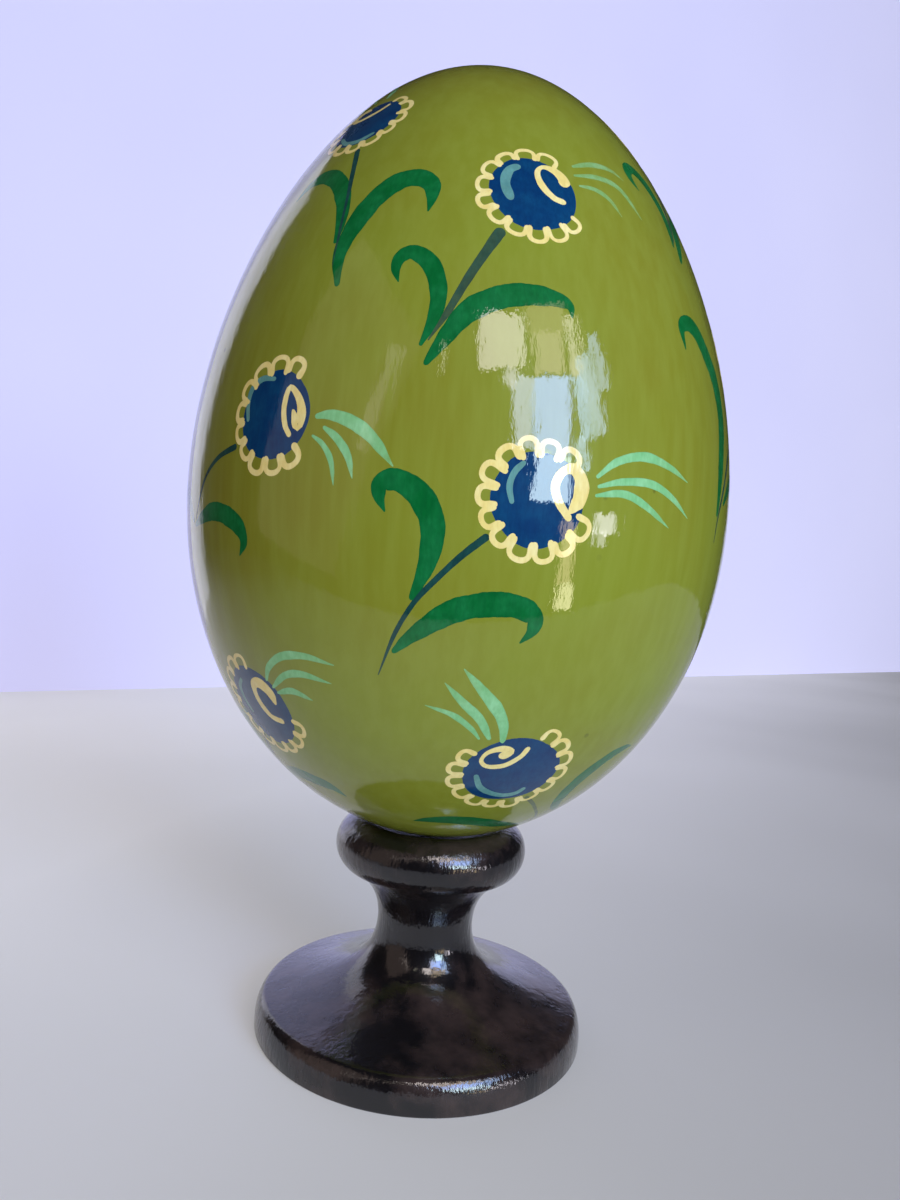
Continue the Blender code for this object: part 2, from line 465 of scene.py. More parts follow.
def egg_radius(height):
    place = np.clip((height - EGG_BASE) / EGG_LENGTH * 2.0 - 1.0, -1.0, 1.0)
    return EGG_RADIUS * egg_breadth(place) / EGG_WIDEST


def egg_slope(height):
    """How fast the radius grows with height, kept finite next to the two ends."""
    inside = np.clip(height, EGG_BASE + EGG_END_MARGIN, EGG_BASE + EGG_LENGTH - EGG_END_MARGIN)
    growth = egg_radius(inside + EGG_SLOPE_STEP) - egg_radius(inside - EGG_SLOPE_STEP)
    return growth / (2 * EGG_SLOPE_STEP)


def unit(vectors):
    return vectors / np.maximum(np.linalg.norm(vectors, axis=-1, keepdims=True), 1e-9)


def egg_normal(points):
    slope = egg_slope(points[:, 2])
    outward = unit(points[:, :2])
    return unit(np.column_stack([outward, -slope]))


def onto_egg(points):
    """Move points along the surface normal until they lie on the egg."""
    for _ in range(3):
        normal = egg_normal(points)
        sideways = np.hypot(points[:, 0], points[:, 1]) - egg_radius(points[:, 2])
        points = points - normal * (sideways * np.hypot(normal[:, 0], normal[:, 1]))[:, None]
    return points


def walk(azimuth, height, east, up):
    """Places reached on the egg by walking straight from one spot, so far to the east and so far up."""
    turn = radians(azimuth)
    radius = float(egg_radius(np.array(height)))
    slope = float(egg_slope(np.array(height)))
    easting = np.array([cos(turn), sin(turn), 0.0])
    northing = unit(np.array([slope * sin(turn), -slope * cos(turn), 1.0]))
    stride = np.hypot(east, up) / WALK_STEPS
    heading = unit(east[:, None] * easting + up[:, None] * northing)
    place = np.tile([radius * sin(turn), -radius * cos(turn), height], (len(east), 1))
    for _ in range(WALK_STEPS):
        ahead = onto_egg(place + heading * stride[:, None])
        normal = egg_normal(ahead)
        move = ahead - place
        heading = unit(move - normal * np.sum(move * normal, axis=1)[:, None])
        place = ahead
    return place


# ---------------------------------------------------------------- meshes


def make_mesh(name, corners, faces, material, smooth=True):
    """A mesh object from corners in millimetres."""
    mesh = bpy.data.meshes.new(name)
    mesh.from_pydata((np.asarray(corners) * MM).tolist(), [], faces)
    mesh.materials.append(material)
    if smooth:
        mesh.shade_smooth()
    piece = bpy.data.objects.new(name, mesh)
    bpy.context.scene.collection.objects.link(piece)
    return piece


def turned(name, outline, steps, material):
    """Sweep an outline of (radius, height), which starts and ends on the axis, into a closed solid."""
    rings = outline[1:-1]
    angles = np.arange(steps) * 2 * pi / steps
    sides = [(r * cos(a), r * sin(a), z) for r, z in rings for a in angles]
    corners = [(0.0, 0.0, outline[0][1])] + sides + [(0.0, 0.0, outline[-1][1])]
    last = len(corners) - 1
    faces = []
    for step in range(steps):
        after = (step + 1) % steps
        faces.append((0, 1 + step, 1 + after))
        for ring in range(len(rings) - 1):
            here = 1 + ring * steps
            below = here + steps
            faces.append((here + step, below + step, below + after, here + after))
        bottom = 1 + (len(rings) - 1) * steps
        faces.append((bottom + step, last, bottom + after))
    return make_mesh(name, corners, faces, material)


def egg_outline():
    """From the point down to the blunt end, with rings closer together near both ends."""
    places = [cos(pi * i / EGG_RINGS) for i in range(EGG_RINGS + 1)]
    heights = np.array([EGG_BASE + EGG_LENGTH * (1.0 + place) / 2 for place in places])
    return list(zip(egg_radius(heights), heights))


def bezier(start, start_handle, end_handle, end, count):
    """Points along a cubic curve, without its first point."""
    t = np.linspace(0.0, 1.0, count + 1)[1:, None]
    s = 1.0 - t
    corners = [np.array(corner) for corner in (start, start_handle, end_handle, end)]
    curve = (
        s**3 * corners[0]
        + 3 * s * s * t * corners[1]
        + 3 * s * t * t * corners[2]
        + t**3 * corners[3]
    )
    return [tuple(point) for point in curve]


def arc(centre, half_width, half_height, start, end, count):
    """Points along an ellipse from one angle to another, both ends included."""
    angles = np.linspace(start, end, count + 1)
    return [(centre[0] + half_width * cos(a), centre[1] + half_height * sin(a)) for a in angles]


def stand_outline():
    """From the middle of the dish over the rim, down the neck and foot to the underside."""
    floor = RIM_TOP - DISH_DEPTH
    rim_centre = (RIM_RING_RADIUS, RIM_TOP - RIM_HALF_HEIGHT)
    rim = arc(rim_centre, RIM_HALF_WIDTH, RIM_HALF_HEIGHT, RIM_START, RIM_END, 48)
    wall_handle = (rim[0][0] - DISH_WALL_RUN, rim[0][1] - DISH_WALL_DROP)
    wall = bezier((DISH_FLAT, floor), (2 * DISH_FLAT, floor), wall_handle, rim[0], 12)
    waist = (NECK_RADIUS, NECK_HEIGHT)
    crease = rim[-1]
    flare = (crease[0] - NECK_FLARE[0], crease[1] - NECK_FLARE[1])
    upper = bezier(crease, flare, (NECK_RADIUS, NECK_HEIGHT + NECK_SWEEP_UP), waist, 24)
    edge_start = atan(FOOT_ROUND_DROP / FOOT_ROUND / tan(FOOT_SLOPE))
    edge_centre = (FOOT_RADIUS - FOOT_ROUND, FOOT_EDGE - FOOT_ROUND_DROP)
    top = arc(edge_centre, FOOT_ROUND, FOOT_ROUND_DROP, edge_start, 0.0, 16)
    edge = top[0]
    sweep = (edge[0] - FOOT_SWEEP * cos(FOOT_SLOPE), edge[1] + FOOT_SWEEP * sin(FOOT_SLOPE))
    lower = bezier(waist, (NECK_RADIUS, NECK_HEIGHT - NECK_SWEEP_DOWN), sweep, edge, 44)
    sole_corner = (FOOT_RADIUS - FOOT_SOLE_ROUND, FOOT_SOLE_ROUND)
    sole = arc(sole_corner, FOOT_SOLE_ROUND, FOOT_SOLE_ROUND, 0.0, -pi / 2, 5)
    dish = [(0.0, floor), (DISH_FLAT, floor)] + wall[:-1]
    outline = dish + rim + upper + lower[:-1] + top + sole + [(0.0, 0.0)]
    return [(radius, STAND_BASE + height) for radius, height in outline]


# ---------------------------------------------------------------- brush strokes


def smooth_curve(places):
    """A flowing line through a stroke's points, as a fine run of points and the distance to each."""
    points = np.array(places, float)
    before = 2 * points[0] - points[1]
    after = 2 * points[-1] - points[-2]
    padded = np.vstack([before, points, after])
    t = np.linspace(0.0, 1.0, CURVE_STEPS, endpoint=False)[:, None]
    parts = []
    for a, b, c, d in zip(padded, padded[1:], padded[2:], padded[3:]):
        stretch = (
            2 * b
            + (c - a) * t
            + (2 * a - 5 * b + 4 * c - d) * t**2
            + (3 * b - a - 3 * c + d) * t**3
        )
        parts.append(0.5 * stretch)
    line = np.vstack(parts + [points[-1:]])
    steps = np.hypot(*np.diff(line, axis=0).T)
    return line, np.concatenate([[0.0], np.cumsum(steps)])


def hand_wobble(distance, dice, size):
    """A slow uneven waver, as a hand gives a brush line."""
    waver = np.zeros_like(distance)
    for wavelength in WOBBLE_LENGTHS:
        waver += np.sin(2 * pi * distance / wavelength + dice.uniform(0, 2 * pi))
    return 1.0 + size * waver / len(WOBBLE_LENGTHS)


def stroke_rings(places, width, swell, dice, wobble=STROKE_WOBBLE):
    """Local centres, sideways directions, half widths and fractions of the way along one stroke."""
    line, distance = smooth_curve(places)
    length = distance[-1]
    count = max(int(length / STROKE_SPACING), STROKE_LEAST_RINGS)
    share = 0.5 - 0.5 * np.cos(pi * np.arange(1, count) / count)
    along = share * length

    def at(places_along):
        return np.column_stack([np.interp(places_along, distance, line[:, k]) for k in (0, 1)])

    centres = at(along)
    forward = unit(at(along + STROKE_LOOK) - at(along - STROKE_LOOK))
    sideways = np.column_stack([-forward[:, 1], forward[:, 0]])
    half = 0.5 * width * np.interp(share, *swell) * hand_wobble(along, dice, wobble)
    to_end = np.minimum(along, length - along)
    nearness = 1.0 - np.clip(to_end / np.maximum(half, 1e-3), 0.0, 1.0)
    rounding = np.sqrt(np.clip(1.0 - nearness**2, STROKE_END, 1.0))
    return centres, sideways, half * rounding, share


def add_stroke(parts, place, rings, lift, cover):
    """Append one closed stroke to parts: its corners, normals, faces and painting coordinates."""
    centres, sideways, half, share = rings
    across = np.array(STROKE_ACROSS)
    rise = np.array(STROKE_LIFT) * lift
    flat = centres[:, None, :] + sideways[:, None, :] * (across[None, :, None] * half[:, None, None])
    grid = np.concatenate([flat, centres[:, None, :]], axis=1)
    rows, columns = grid.shape[:2]
    local = turned_about(grid.reshape(-1, 2), place["turn"])
    surface = walk(place["azimuth"], place["height"], local[:, 0], local[:, 1])
    normal = egg_normal(surface)
    rises = np.tile(np.append(rise, -STROKE_DEPTH), rows)
    corners = surface + normal * rises[:, None]
    start = sum(len(block) for block in parts["corners"])
    index = start + np.arange(rows * columns).reshape(rows, columns)
    right = np.roll(index, -1, axis=1)
    quads = np.stack([index[:-1], index[1:], right[1:], right[:-1]], axis=-1).reshape(-1, 4)
    parts["faces"] += quads.tolist() + [index[0].tolist(), index[-1][::-1].tolist()]
    parts["corners"].append(corners)
    hidden = np.tile(np.arange(columns) == columns - 1, rows)
    parts["normals"].append(np.where(hidden[:, None], -normal, normal))
    parts["along"].append(np.repeat(share, columns))
    parts["across"].append(np.tile(np.append(across, 0.0), rows))
    parts["cover"].append(np.full(rows * columns, cover))


def turned_about(points, degrees):
    angle = radians(degrees)
    spin = np.array([[cos(angle), sin(angle)], [-sin(angle), cos(angle)]])
    return points @ spin


def new_parts():
    return {"corners": [], "faces": [], "normals": [], "along": [], "across": [], "cover": []}


def finish_paint(name, parts, material):
    """Make one painted piece. Its shading follows the egg, since the lacquer over it lies level."""
    piece = make_mesh(name, np.vstack(parts["corners"]), parts["faces"], material)
    mesh = piece.data
    mesh.normals_split_custom_set_from_vertices(np.vstack(parts["normals"]).tolist())
    for key in ("along", "across", "cover"):
        layer = mesh.attributes.new(key, "FLOAT", "POINT")
        layer.data.foreach_set("value", np.concatenate(parts[key]).astype(np.float32))
    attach(piece, "egg")
    return piece


def paint_strokes(name, place, strokes, widths, swell, lift, cover, material, dice):
    parts = new_parts()
    for places, width in zip(strokes, widths):
        rings = stroke_rings(places, width, swell, dice)
        add_stroke(parts, place, rings, lift, cover)
    return finish_paint(name, parts, material)


def paint_navy(name, place, radius, squeeze, material, dice):
    """The flower's round blue middle, as a shallow pad with a slightly uneven edge."""
    steps = NAVY_STEPS
    shares = np.array(NAVY_SHARES)
    rises = np.array(NAVY_RISES) * NAVY_LIFT
    angles = np.arange(steps) * 2 * pi / steps
    edge = radius * np.ones(steps)
    for lobes in NAVY_LOBES:
        size = radius * dice.uniform(*NAVY_UNEVEN)
        edge += size * np.cos(lobes * angles + dice.uniform(0, 2 * pi))
    spread = shares[:, None] * edge[None, :]
    east = spread * np.cos(angles)
    up = spread * np.sin(angles) * squeeze
    local = np.stack([east, up], axis=-1).reshape(-1, 2)
    local = np.vstack([[0.0, 0.0], local, [0.0, 0.0]])
    lifts = np.concatenate([[NAVY_LIFT], np.repeat(rises, steps), [-NAVY_DEPTH]])
    surface = walk(place["azimuth"], place["height"], local[:, 0], local[:, 1])
    normal = egg_normal(surface)
    last = len(local) - 1
    faces = []
    for step in range(steps):
        after = (step + 1) % steps
        faces.append((0, 1 + step, 1 + after))
        for ring in range(len(shares) - 1):
            here = 1 + ring * steps
            faces.append((here + step, here + steps + step, here + steps + after, here + after))
        rim = 1 + (len(shares) - 1) * steps
        faces.append((rim + step, last, rim + after))
    parts = new_parts()
    parts["corners"].append(surface + normal * lifts[:, None])
    parts["faces"] = faces
    parts["normals"].append(np.where((np.arange(len(local)) == last)[:, None], -normal, normal))
    parts["along"].append(np.concatenate([[0.0], np.repeat(shares, steps), [0.0]]))
    parts["across"].append(np.zeros(len(local)))
    parts["cover"].append(np.ones(len(local)))
    return finish_paint(name, parts, material)


def scallop(inner, outer, start, end):
    """One loop of the cream edging: out from the flower's edge, round, and straight in again."""
    shares = np.linspace(0.0, 1.0, SCALLOP_POINTS)
    radii = inner + (outer - inner) * np.sin(pi * shares) ** SCALLOP_SHOULDER
    margin = RING_SPOKE / inner
    sweep = shares - RING_HOLD * np.sin(2 * pi * shares) / (2 * pi)
    angles = start + margin + (end - start - 2 * margin) * sweep
    return [(r * cos(a), r * sin(a)) for r, a in zip(radii, angles)]


def paint_ring(name, place, spray, material, dice):
    """The cream scallops round a flower, left open on the side that the flower faces."""
    inner = spray.looks.get("ring_inner", RING_INNER)
    outer = spray.looks.get("ring_outer", RING_OUTER)
    line = spray.looks.get("ring_line", RING_LINE)
    gap_start, gap_end = spray.ring_gap
    sweep = radians(360 - (gap_end - gap_start))
    count = round(sweep * (inner + outer) / 2 / RING_PITCH)
    steps = dice.uniform(*SCALLOP_SPACING_RANGE, count)
    bounds = radians(gap_end) + sweep * np.concatenate([[0.0], np.cumsum(steps)]) / steps.sum()
    parts = new_parts()
    for number in range(count):
        reach = outer + dice.uniform(*SCALLOP_REACH_RANGE)
        start = inner + dice.uniform(*SCALLOP_START_RANGE)
        loop = scallop(start, reach, bounds[number], bounds[number + 1])
        width = line * dice.uniform(*SCALLOP_LINE_RANGE)
        rings = stroke_rings(loop, width, SCALLOP_SWELL, dice, SCALLOP_WOBBLE)
        add_stroke(parts, place, rings, RING_LIFT + RING_LIFT_STEP * (number % 2), 1.0)
    return finish_paint(name, parts, material)


def paint_spray(name, spray, azimuth, height, turn, paints, seed):
    """Every stroke of one flower spray."""
    dice = np.random.default_rng(seed)
    place = {"azimuth": azimuth, "height": height, "turn": turn}
    looks = spray.looks
    strokes = spray.strokes
    whisker_cover = looks.get("whisker_cover", 1.0)
    stem_cover = looks.get("stem_cover", 1.0)
    hook_swell = looks.get("hook_swell", CURL_SWELL)
    rows = (
        ("leaves", (2.4, 2.6), LEAF_SWELL, LEAF_LIFT, 1.0, "leaf"),
        ("stem", (1.0,), STEM_SWELL, STEM_LIFT, stem_cover, "stem"),
        ("whiskers", (1.05, 0.95, 0.9), WHISKER_SWELL, WHISKER_LIFT, whisker_cover, "mint"),
        ("teal", (0.85,), TEAL_SWELL, TEAL_LIFT, 0.85, "teal"),
        ("hook", (0.9,), hook_swell, HOOK_LIFT, 1.0, "cream"),
    )
    radius = looks.get("navy_radius", NAVY_RADIUS)
    paint_navy(f"{name}_navy", place, radius, looks.get("squeeze", 1.0), paints["navy"], dice)
    paint_ring(f"{name}_scallops", place, spray, paints["cream"], dice)
    for part, usual, swell, lift, cover, paint in rows:
        if strokes[part]:
            label = f"{name}_{part}"
            widths = looks.get(f"{part}_widths", usual)
            paint_strokes(
                label, place, strokes[part], widths, swell, lift, cover, paints[paint], dice
            )


# ---------------------------------------------------------------- materials


class Graph:
    """A material's nodes, with short ways to add and join them."""

    def __init__(self, name):
        self.material = bpy.data.materials.new(name)
        self.material.use_nodes = True
        self.tree = self.material.node_tree
        self.shader = self.tree.nodes["Principled BSDF"]
        self.coordinates = self.tree.nodes.new("ShaderNodeTexCoord").outputs["Object"]

    def plug(self, value, socket):
        if isinstance(value, bpy.types.NodeSocket):
            self.tree.links.new(value, socket)
        else:
            socket.default_value = value

    def set(self, **values):
        """Set or join the shader's own sockets; underscores in a name stand for spaces."""
        for name, value in values.items():
            self.plug(value, self.shader.inputs[name.replace("_", " ")])

    def scaled(self, scale):
        node = self.tree.nodes.new("ShaderNodeMapping")
        node.inputs["Scale"].default_value = scale
        self.plug(self.coordinates, node.inputs["Vector"])
        return node.outputs["Vector"]

    def noise(self, scale, detail=2.0, roughness=0.5, stretch=(1.0, 1.0, 1.0), distortion=0.0):
        """Noise whose scale counts features per metre; stretch multiplies it along each axis."""
        node = self.tree.nodes.new("ShaderNodeTexNoise")
        self.plug(self.scaled(tuple(scale * part for part in stretch)), node.inputs["Vector"])
        node.inputs["Scale"].default_value = 1.0
        node.inputs["Detail"].default_value = detail
        node.inputs["Roughness"].default_value = roughness
        node.inputs["Distortion"].default_value = distortion
        return node.outputs["Fac"]

    def specks(self, scale, size):
        """One where a sparse speck lies, and zero elsewhere."""
        node = self.tree.nodes.new("ShaderNodeTexVoronoi")
        self.plug(self.scaled((scale, scale, scale)), node.inputs["Vector"])
        node.inputs["Scale"].default_value = 1.0
        return self.span(node.outputs["Distance"], size, size * 0.6, 0.0, 1.0)

    def span(self, value, low, high, out_low, out_high):
        """Carry low to out_low and high to out_high, straight between and level beyond."""
        node = self.tree.nodes.new("ShaderNodeMapRange")
        node.inputs["From Min"].default_value = low
        node.inputs["From Max"].default_value = high
        node.inputs["To Min"].default_value = out_low
        node.inputs["To Max"].default_value = out_high
        self.plug(value, node.inputs["Value"])
        return node.outputs["Result"]

    def combine(self, operation, first, second):
        """Join two numbers by a named operation, such as ADD or MINIMUM."""
        node = self.tree.nodes.new("ShaderNodeMath")
        node.operation = operation
        self.plug(first, node.inputs[0])
        self.plug(second, node.inputs[1])
        return node.outputs["Value"]

    def mix(self, share, first, second):
        """Blend two colours, which a colour mix keeps in inputs 6 and 7, by a share from 0 to 1."""
        node = self.tree.nodes.new("ShaderNodeMix")
        node.data_type = "RGBA"
        self.plug(share, node.inputs["Factor"])
        self.plug(opaque(first), node.inputs[6])
        self.plug(opaque(second), node.inputs[7])
        return node.outputs[2]

    def attribute(self, name):
        node = self.tree.nodes.new("ShaderNodeAttribute")
        node.attribute_name = name
        return node.outputs["Fac"]

    def along(self, slope):
        """The sum of the object coordinates, each times its part of slope."""
        node = self.tree.nodes.new("ShaderNodeVectorMath")
        node.operation = "DOT_PRODUCT"
        node.inputs[1].default_value = slope
        self.plug(self.coordinates, node.inputs[0])
        return node.outputs["Value"]

    def height(self):
        node = self.tree.nodes.new("ShaderNodeSeparateXYZ")
        self.plug(self.coordinates, node.inputs[0])
        return node.outputs["Z"]

    def bump(self, height, distance, under=None):
        node = self.tree.nodes.new("ShaderNodeBump")
        node.inputs["Distance"].default_value = distance
        self.plug(height, node.inputs["Height"])
        if under is not None:
            self.plug(under, node.inputs["Normal"])
        return node.outputs["Normal"]


def opaque(colour):
    if isinstance(colour, tuple) and len(colour) == 3:
        return (*colour, 1.0)
    return colour


# The egg's green, from its plain body to the dark specks, and how its lacquer dips, in metres.
GROUND = (0.242, 0.285, 0.025)
GROUND_WARM = (0.235, 0.228, 0.020)
GROUND_LIGHT = (0.288, 0.338, 0.048)
GROUND_DARK = (0.090, 0.085, 0.015)
LACQUER_GRAIN = 1.5e-5
LACQUER_SWAY = 7.0e-5

# The six paints: main colour, deeper colour where it pools, lighter colour where it is thin, the
# strength of its bristle streaks and how far it wears through towards the end of a stroke.
PAINTS = {
    "navy": ((0.001, 0.040, 0.130), (0.0005, 0.020, 0.078), (0.003, 0.066, 0.162), 0.35, 0.0),
    "cream": ((0.93, 0.75, 0.23), (0.70, 0.50, 0.12), (1.0, 0.88, 0.38), 0.3, 0.0),
    "teal": ((0.095, 0.320, 0.320), (0.04, 0.17, 0.20), (0.16, 0.44, 0.42), 0.4, 0.1),
    "leaf": ((0.001, 0.140, 0.026), (0.0005, 0.078, 0.018), (0.008, 0.195, 0.050), 0.4, 0.0),
    "mint": ((0.215, 0.560, 0.220), (0.15, 0.42, 0.13), (0.32, 0.68, 0.32), 0.4, 0.5),
    "stem": ((0.008, 0.056, 0.050), (0.004, 0.026, 0.028), (0.018, 0.090, 0.072), 0.4, 0.15),
}

# The stand's lacquer where it is whole and where it is worn, how deep its marks are, and the
# heights on the stand between which its finish changes from one kind to the next, all in metres.
STAND_BLACK = (0.0050, 0.0042, 0.0050)
STAND_BROWN = (0.052, 0.033, 0.028)
STAND_STROKES = 9.0e-5
STAND_LUMPS = 1.0e-4
STAND_RINGS = 2.0e-5
FOOT_SIDE_TOP = (0.0035, 0.0050)
FOOT_TOP_END = (0.0105, 0.0145)
NECK_START = (0.0095, 0.0125)
NECK_END = (0.0195, 0.0220)


def ground_colour(graph):
    """Olive green: cloudy patches, faint brush streaks up the egg and a few dark specks."""
    clouds = graph.span(graph.noise(28, 3.0), 0.35, 0.68, 0.0, 1.0)
    streaks = graph.span(graph.noise(700, 3.0, 0.6, (1.0, 1.0, 0.07)), 0.38, 0.66, 0.0, 0.35)
    body = graph.mix(clouds, GROUND, GROUND_WARM)
    streaked = graph.mix(streaks, body, GROUND_LIGHT)
    sparse = graph.span(graph.noise(45, 1.0), 0.56, 0.62, 0.0, 0.6)
    specks = graph.combine("MULTIPLY", graph.specks(210, 0.085), sparse)
    return graph.mix(specks, streaked, GROUND_DARK)


def lacquer(graph):
    """A glossy clear coat that has sunk a little into the wood's grain, so reflections break up."""
    fine = graph.noise(1500, 3.0, 0.65, (1.0, 1.0, 0.3))
    broad = graph.noise(260, 2.0, 0.5, (1.0, 1.0, 0.35))
    surface = graph.bump(fine, LACQUER_GRAIN, graph.bump(broad, LACQUER_SWAY))
    graph.set(Normal=surface, Coat_Normal=surface, Coat_Weight=1.0, Coat_Roughness=0.025, Coat_IOR=1.5)
    graph.set(IOR=1.45, Specular_IOR_Level=0.05)
    return graph.material


def egg_lacquer():
    graph = Graph("egg_lacquer")
    graph.set(Base_Color=ground_colour(graph))
    graph.set(Roughness=graph.span(graph.noise(220, 2.0), 0.3, 0.7, 0.36, 0.5))
    return lacquer(graph)


def paint(name, main, deep, light, streak, thin):
    """Opaque brush paint: streaked along the stroke, pooled darker at its edges, thin near its tip."""
    graph = Graph(name)
    along = graph.attribute("along")
    across = graph.combine("ABSOLUTE", graph.attribute("across"), 0.0)
    patches = graph.span(graph.noise(420, 3.0, 0.6), 0.35, 0.68, 0.0, 1.0)
    bristles = graph.span(graph.noise(2600, 2.0, 0.6, (1.0, 1.0, 0.25)), 0.35, 0.7, 0.0, streak)
    body = graph.mix(patches, main, light)
    body = graph.mix(bristles, body, deep)
    edge = graph.span(across, 0.72, 1.0, 0.0, 0.35)
    body = graph.mix(edge, body, deep)
    worn = graph.span(graph.noise(1500, 3.0, 0.65), 0.3, 0.75, 0.0, 1.0)
    tip = graph.combine("MULTIPLY", graph.span(along, 0.55, 1.0, 0.0, thin), worn)
    bare = graph.combine("SUBTRACT", 1.0, graph.attribute("cover"))
    patchy = graph.combine("MULTIPLY", bare, graph.span(worn, 0.0, 1.0, 0.7, 1.3))
    see_ground = graph.combine("MINIMUM", graph.combine("ADD", tip, patchy), 1.0)
    graph.set(Base_Color=graph.mix(see_ground, body, ground_colour(graph)))
    graph.set(Roughness=graph.span(graph.noise(220, 2.0), 0.3, 0.7, 0.36, 0.5))
    return lacquer(graph)


def all_paints():
    return {name: paint(f"{name}_paint", *looks) for name, looks in PAINTS.items()}


def stand_lacquer():
    """Near-black lacquer over turned wood: brown where worn, with tool rings and fine strokes.

    The neck is kept darker, with little of the brown. The strokes run up the upright parts and fade on
    the foot's top.
    """
    graph = Graph("stand_lacquer")
    worn = graph.span(graph.noise(110, 4.0, 0.62), 0.44, 0.68, 0.0, 1.0)
    above = graph.span(graph.height(), *NECK_START, 0.0, 1.0)
    below = graph.span(graph.height(), *NECK_END, 1.0, 0.0)
    neck = graph.combine("MINIMUM", above, below)
    shown = graph.combine("MULTIPLY", worn, graph.span(neck, 0.0, 1.0, 1.0, 0.1))
    graph.set(Base_Color=graph.mix(shown, STAND_BLACK, STAND_BROWN))
    graph.set(Roughness=graph.span(graph.noise(300, 3.0), 0.3, 0.7, 0.25, 0.42))
    side = graph.span(graph.height(), *FOOT_SIDE_TOP, 1.0, 0.2)
    stem = graph.span(graph.height(), *FOOT_TOP_END, 0.2, 1.0)
    upright = graph.combine("MAXIMUM", side, stem)
    rings = graph.noise(900, 2.0, 0.5, (0.06, 0.06, 1.0))
    lumps = graph.noise(300, 4.0, 0.6)
    strokes = graph.combine("MULTIPLY", graph.noise(1500, 3.0, 0.65, (1.0, 1.0, 0.16)), upright)
    turned_wood = graph.bump(lumps, STAND_LUMPS, graph.bump(rings, STAND_RINGS))
    surface = graph.bump(strokes, STAND_STROKES, turned_wood)
    graph.set(Normal=surface, Coat_Normal=surface, Coat_Weight=1.0, Coat_Roughness=0.10, Coat_IOR=1.62)
    graph.set(IOR=1.45, Specular_IOR_Level=0.1)
    return graph.material


def glowing_painted_light_backdrop(name, dim, bright, glow, slope, painted_shade_amount=0.0):
    """A pale surface that glows though it is no lamp, and brightens along a slope as painted light.

    The last argument says how much painted shade darkens it towards the front left, where the
    camera doesn't look.
    """
    graph = Graph(name)
    uneven = graph.span(graph.noise(6, 2.0), 0.3, 0.7, -0.1, 0.1)
    # Painted light: the colour brightens along the slope.
    share = graph.combine("ADD", graph.span(graph.along(slope), -0.5, 0.5, 0.0, 1.0), uneven)
    colour = graph.mix(share, dim, bright)
    # Painted shade: darker towards the front left.
    shade = graph.span(graph.along(PAINTED_SHADE_SLOPE), *PAINTED_SHADE_SPAN, 0.0, painted_shade_amount)
    colour = graph.mix(shade, colour, PAINTED_SHADE_COLOUR)
    # The colour also glows, though the surface is no lamp.
    graph.set(Base_Color=colour, Emission_Color=colour, Emission_Strength=glow)
    graph.set(Roughness=0.8, Specular_IOR_Level=0.1)
    return graph.material


# ---------------------------------------------------------------- stage, lights and camera


def flat_sheet(name, corners, material):
    points = [Vector(corner) / MM for corner in corners]
    sheet = make_mesh(name, points, [(0, 1, 2, 3)], material, smooth=False)
    return sheet


def build_floor(material):
    """An oval table top and the floor beyond it, which is left out of every reflection."""
    angles = np.arange(TABLE_SIDES) * 2 * pi / TABLE_SIDES
    circle = np.column_stack([np.cos(angles), np.sin(angles), 0.0 * angles])
    middle = np.array([*TABLE_CENTRE, 0.0])
    table = (middle + (TABLE_HALF_WIDTH, TABLE_HALF_DEPTH, 0.0) * circle) / MM
    reach = (middle + FLOOR_REACH * circle) / MM
    make_mesh("table_top", table, [tuple(range(TABLE_SIDES))], material, smooth=False)
    faces = []
    for side in range(TABLE_SIDES):
        after = (side + 1) % TABLE_SIDES
        faces.append((side, side + TABLE_SIDES, after + TABLE_SIDES, after))
    beyond = make_mesh("floor_beyond", np.vstack([table, reach]), faces, material, smooth=False)
    beyond.visible_glossy = False


def build_stage():
    # The floor glows though it is no lamp; painted light brightens it towards the back left and painted
    # shade darkens its front left.
    floor = glowing_painted_light_backdrop(
        "floor_paper_painted_light", (0.270, 0.270, 0.268), (0.56, 0.56, 0.56), 0.60, (-5.0, 2.5, 0.0), 0.9
    )
    # The wall glows though it is no lamp, and painted light brightens it towards the right and lower
    # down.
    wall = glowing_painted_light_backdrop(
        "wall_paper_painted_light", (0.475, 0.465, 0.66), (0.585, 0.57, 0.74), 0.56, (1.6, 0.0, -0.4)
    )
    # The wall's end glows brighter still, as painted light.
    side = glowing_painted_light_backdrop(
        "side_paper_painted_light", (0.86, 0.84, 0.90), (0.98, 0.96, 1.0), 0.62, (1.6, 0.0, -0.4)
    )
    build_floor(floor)
    along = Vector((cos(WALL_TURN), sin(WALL_TURN), 0.0))
    up = Vector((0.0, 0.0, 1.0))
    middle = Vector((*WALL_FOOT, 0.0))
    end = middle - along * WALL_END
    left = middle - along * WALL_LEFT
    right = middle + along * WALL_RIGHT
    end_break = end + up * WALL_GLOSS_LEFT
    left_break = left + up * WALL_GLOSS_LEFT
    right_break = right + up * WALL_GLOSS_RIGHT
    flat_sheet("backdrop", (left, right, right_break, left_break), wall)
    flat_sheet("backdrop_end", (end, left, left_break, end_break), side)
    above = (left_break, right_break, right + up * WALL_HEIGHT, left + up * WALL_HEIGHT)
    flat_sheet("backdrop_above", above, wall).visible_glossy = False


def towards(azimuth, elevation):
    """The direction from the egg towards something in front, from its azimuth and elevation."""
    turn = radians(azimuth)
    tilt = radians(elevation)
    return Vector((sin(turn) * cos(tilt), -cos(turn) * cos(tilt), sin(tilt)))


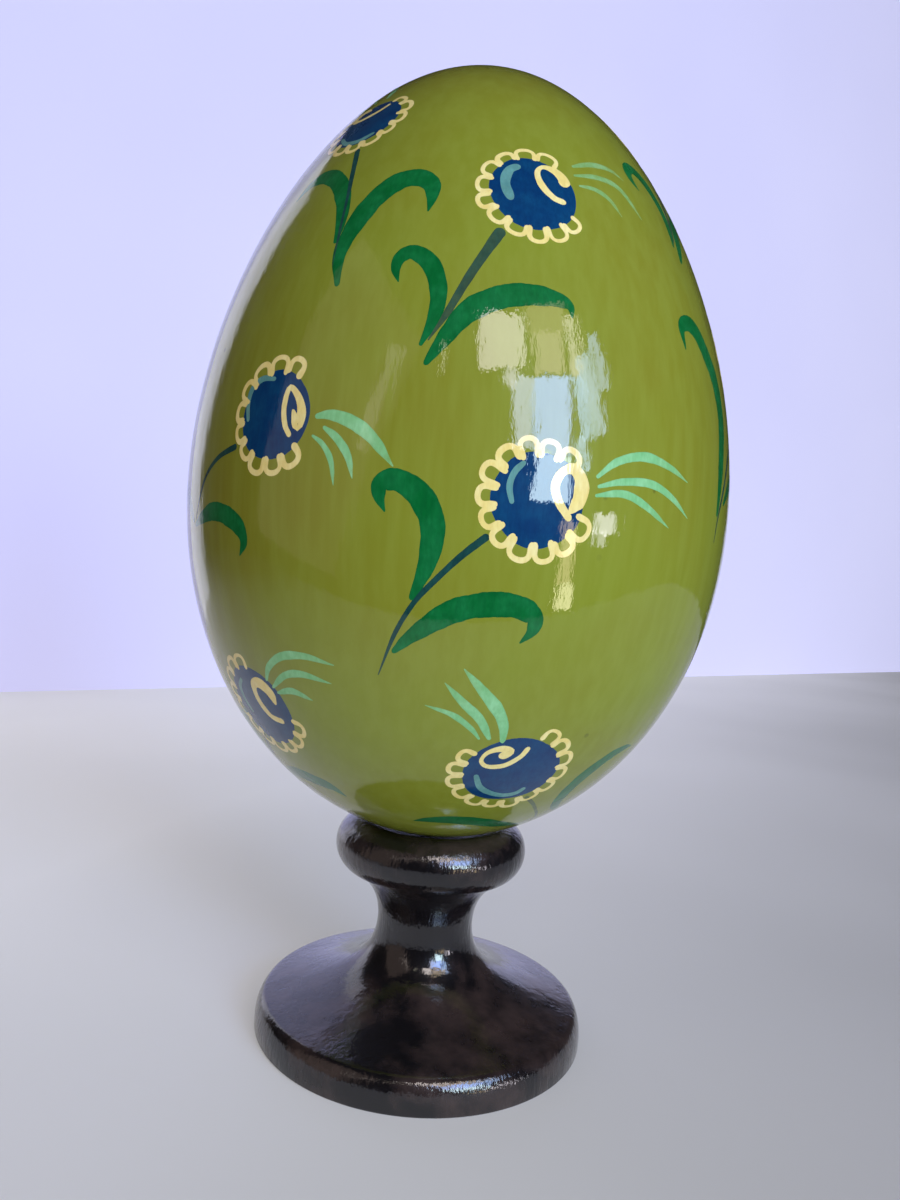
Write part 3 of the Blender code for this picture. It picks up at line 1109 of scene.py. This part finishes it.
def hang_pane(name, azimuth, elevation, breadth, tallness, lean, brightness):
    """A rectangular light that covers this much of the egg's view, with an even brightness."""
    middle = towards(azimuth, elevation)
    width = 2 * WINDOW_DISTANCE * tan(radians(breadth) / 2) * cos(radians(elevation))
    height = 2 * WINDOW_DISTANCE * tan(radians(tallness) / 2)
    strongest = max(brightness)
    light = bpy.data.lights.new(name, "AREA")
    light.shape = "RECTANGLE"
    light.size = width
    light.size_y = height
    light.color = [part / strongest for part in brightness]
    light.energy = strongest * pi * width * height
    lamp = bpy.data.objects.new(name, light)
    facing = middle.to_track_quat("Z", "Y").to_matrix().to_4x4()
    spot = (EGG_LOW + EGG_HIGH) / 2 + middle * WINDOW_DISTANCE
    lamp.matrix_world = Matrix.Translation(spot) @ facing @ Matrix.Rotation(radians(lean), 4, "Z")
    lamp.visible_camera = False
    bpy.context.scene.collection.objects.link(lamp)
    return lamp


def light_room():
    """Soft light from all round, the window panes, and a fill that no reflection shows.

    Reflections see the room as dim, and the camera sees it as a pale wall.
    """
    world = bpy.data.worlds.new("studio")
    bpy.context.scene.world = world
    world.use_nodes = True
    tree = world.node_tree
    sky = tree.nodes["Background"]
    rays = tree.nodes.new("ShaderNodeLightPath")
    for_gloss = tree.nodes.new("ShaderNodeMix")
    for_camera = tree.nodes.new("ShaderNodeMix")
    for_gloss.data_type = "RGBA"
    for_camera.data_type = "RGBA"
    for_gloss.inputs[6].default_value = (*ROOM_AMBIENT, 1.0)
    for_gloss.inputs[7].default_value = (*ROOM_REFLECTED, 1.0)
    for_camera.inputs[7].default_value = (*ROOM_SEEN, 1.0)
    tree.links.new(rays.outputs["Is Glossy Ray"], for_gloss.inputs[0])
    tree.links.new(rays.outputs["Is Camera Ray"], for_camera.inputs[0])
    tree.links.new(for_gloss.outputs[2], for_camera.inputs[6])
    tree.links.new(for_camera.outputs[2], sky.inputs["Color"])
    for pane in PANES:
        hang_pane(*pane)
    hang_pane(*FILL).visible_glossy = False


def place_camera():
    camera = bpy.data.cameras.new("camera")
    camera.lens = CAMERA_LENS
    camera.sensor_width = CAMERA_SENSOR
    camera.clip_start = 0.01
    holder = bpy.data.objects.new("camera", camera)
    aim = Matrix.Rotation(pi / 2 + CAMERA_PITCH, 4, "X") @ Matrix.Rotation(CAMERA_ROLL, 4, "Z")
    holder.matrix_world = Matrix.Translation((0.0, -CAMERA_DISTANCE, CAMERA_HEIGHT)) @ aim
    bpy.context.scene.collection.objects.link(holder)
    bpy.context.scene.camera = holder
    bpy.context.scene.view_settings.view_transform = "Standard"


# ---------------------------------------------------------------- the object


def build_egg(material):
    egg = turned("egg_body", egg_outline(), EGG_STEPS, material)
    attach(egg, "egg")
    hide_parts("egg")


def build_stand(material):
    stand = turned("stand_body", stand_outline(), STAND_STEPS, material)
    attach(stand, "stand")
    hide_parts("stand")


build_egg(egg_lacquer())
build_stand(stand_lacquer())
paints = all_paints()
for number, (name, spray, azimuth, height, turn) in enumerate(PAINTING):
    paint_spray(name, spray, azimuth, height, turn, paints, seed=number + 1)
build_stage()
light_room()
place_camera()
